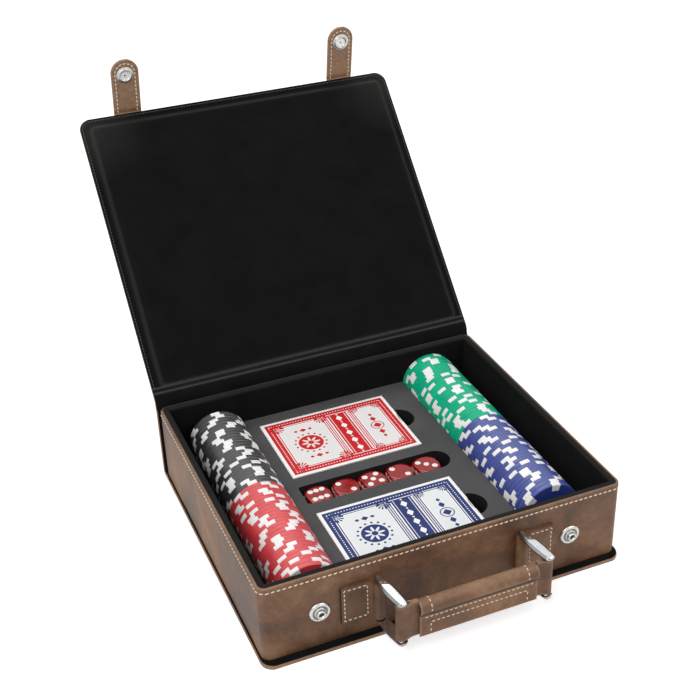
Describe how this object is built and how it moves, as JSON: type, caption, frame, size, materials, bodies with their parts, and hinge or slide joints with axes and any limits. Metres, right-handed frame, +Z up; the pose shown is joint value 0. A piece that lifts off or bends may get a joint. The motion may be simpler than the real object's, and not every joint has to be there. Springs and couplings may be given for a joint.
{
  "type": "poker set case",
  "caption": "Open book-style poker set case in brown leatherette: lined lid with snap straps, link handle, and a foam insert holding card boxes, dice and columns of chips",
  "frame": {"origin": "the underside of the base panel, under the middle of the tray", "axes": "+Z up, +X to the right along the front wall, +Y to the back where the lid is hinged"},
  "size_m": [0.238, 0.3863, 0.2526],
  "materials": {
    "brown_leather": "satin",
    "black_lining": "matte",
    "board": "matte",
    "grey_foam": "matte",
    "black_foam": "matte",
    "padding": "matte",
    "nickel": "polished",
    "chrome_links": "polished",
    "red_card": "satin",
    "blue_card": "satin",
    "playing_cards": "satin",
    "red_resin": "gloss",
    "black_chip": "satin",
    "red_chip": "satin",
    "green_chip": "satin",
    "blue_chip": "satin"
  },
  "bodies": {
    "case": {"cover_skin": "brown_leather", "base_board": "board", "spine_board": "board", "cover_lining": "black_lining", "hinge_skin": "brown_leather", "hinge_lining": "black_lining", "wall_board_front": "board", "wall_board_rear": "board", "wall_board_left": "board", "wall_board_right": "board", "tray_wrap": "brown_leather", "liner_front": "black_lining", "liner_rear": "black_lining", "liner_left": "black_lining", "liner_right": "black_lining", "tray_floor": "board", "foam_base": "grey_foam", "foam_top": "grey_foam", "chip_cradle_left": "black_foam", "chip_cradle_right": "black_foam", "snap_studs": "nickel", "stud_rivets": "nickel", "anchor_left": "brown_leather", "anchor_right": "brown_leather"},
    "lid": {"lid_skin": "brown_leather", "lid_board": "board", "lid_lining": "black_lining", "strap_tails": "brown_leather", "strap_bend_left": "brown_leather", "strap_bend_right": "brown_leather"},
    "tab_left": {"strap_outer_left": "brown_leather", "strap_inner_left": "brown_leather", "snap_socket_left": "nickel", "snap_cap_left": "nickel"},
    "link_left": {"link_top_left": "chrome_links", "link_bottom_left": "chrome_links", "link_pins_left": "chrome_links"},
    "tab_right": {"strap_outer_right": "brown_leather", "strap_inner_right": "brown_leather", "snap_socket_right": "nickel", "snap_cap_right": "nickel"},
    "link_right": {"link_top_right": "chrome_links", "link_bottom_right": "chrome_links", "link_pins_right": "chrome_links"},
    "handle": {"handle_strap": "brown_leather", "grip_core": "padding", "grip_wrap": "brown_leather"},
    "red_deck": {"red_box": "red_card", "red_cards": "playing_cards"},
    "blue_deck": {"blue_box": "blue_card", "blue_cards": "playing_cards"},
    "chips_black": {"chips_black": "black_chip"},
    "chips_red": {"chips_red": "red_chip"},
    "chips_green": {"chips_green": "green_chip"},
    "chips_blue": {"chips_blue": "blue_chip"},
    "die_1": {"die_1": "red_resin"},
    "die_2": {"die_2": "red_resin"},
    "die_3": {"die_3": "red_resin"},
    "die_4": {"die_4": "red_resin"},
    "die_5": {"die_5": "red_resin"}
  },
  "joints": [
    {"name": "lid_hinge", "type": "hinge", "parent": "case", "child": "lid", "pos_m": [0, 0.1045, 0.0587], "axis": [-1, 0, 0], "range_deg": [-134, 56], "deforming": ["hinge_skin", "hinge_lining"]},
    {"name": "left_strap_bend", "type": "hinge", "parent": "lid", "child": "tab_left", "pos_m": [-0.0822, 0.25184, 0.21127], "axis": [-1, 0, 0], "range_deg": [-36, 54], "stiffness_Nm_per_rad": 0.01, "deforming": ["strap_bend_left"]},
    {"name": "right_strap_bend", "type": "hinge", "parent": "lid", "child": "tab_right", "pos_m": [0.0822, 0.25184, 0.21127], "axis": [-1, 0, 0], "range_deg": [-36, 54], "stiffness_Nm_per_rad": 0.01, "deforming": ["strap_bend_right"]},
    {"name": "left_link_swing", "type": "hinge", "parent": "case", "child": "link_left", "pos_m": [-0.047, -0.106, 0.0284], "axis": [0, 0, 1], "range_deg": [-63.5, 29.5]},
    {"name": "right_link_swing", "type": "hinge", "parent": "case", "child": "link_right", "pos_m": [0.047, -0.106, 0.0284], "axis": [0, 0, 1], "range_deg": [-63.5, 29.5]},
    {"name": "handle_pivot", "type": "hinge", "parent": "link_left", "child": "handle", "pos_m": [-0.0436, -0.12875, 0.0284], "axis": [0, 0, 1], "range_deg": [-29.5, 63.5]},
    {"name": "red_deck_lift", "type": "slide", "parent": "case", "child": "red_deck", "axis": [0, 0, 1], "range_m": [0, 0.048]},
    {"name": "blue_deck_lift", "type": "slide", "parent": "case", "child": "blue_deck", "axis": [0, 0, 1], "range_m": [0, 0.048]},
    {"name": "chips_black_lift", "type": "slide", "parent": "case", "child": "chips_black", "axis": [0, 0, 1], "range_m": [0, 0.048]},
    {"name": "chips_red_lift", "type": "slide", "parent": "case", "child": "chips_red", "axis": [0, 0, 1], "range_m": [0, 0.048]},
    {"name": "chips_green_lift", "type": "slide", "parent": "case", "child": "chips_green", "axis": [0, 0, 1], "range_m": [0, 0.048]},
    {"name": "chips_blue_lift", "type": "slide", "parent": "case", "child": "chips_blue", "axis": [0, 0, 1], "range_m": [0, 0.048]},
    {"name": "die_1_lift", "type": "slide", "parent": "case", "child": "die_1", "axis": [0, 0, 1], "range_m": [0, 0.048]},
    {"name": "die_2_lift", "type": "slide", "parent": "case", "child": "die_2", "axis": [0, 0, 1], "range_m": [0, 0.048]},
    {"name": "die_3_lift", "type": "slide", "parent": "case", "child": "die_3", "axis": [0, 0, 1], "range_m": [0, 0.048]},
    {"name": "die_4_lift", "type": "slide", "parent": "case", "child": "die_4", "axis": [0, 0, 1], "range_m": [0, 0.048]},
    {"name": "die_5_lift", "type": "slide", "parent": "case", "child": "die_5", "axis": [0, 0, 1], "range_m": [0, 0.048]}
  ],
  "couplings": [
    {"joint": "right_link_swing", "follows": "left_link_swing", "ratio": 1},
    {"joint": "handle_pivot", "follows": "left_link_swing", "ratio": -1}
  ]
}
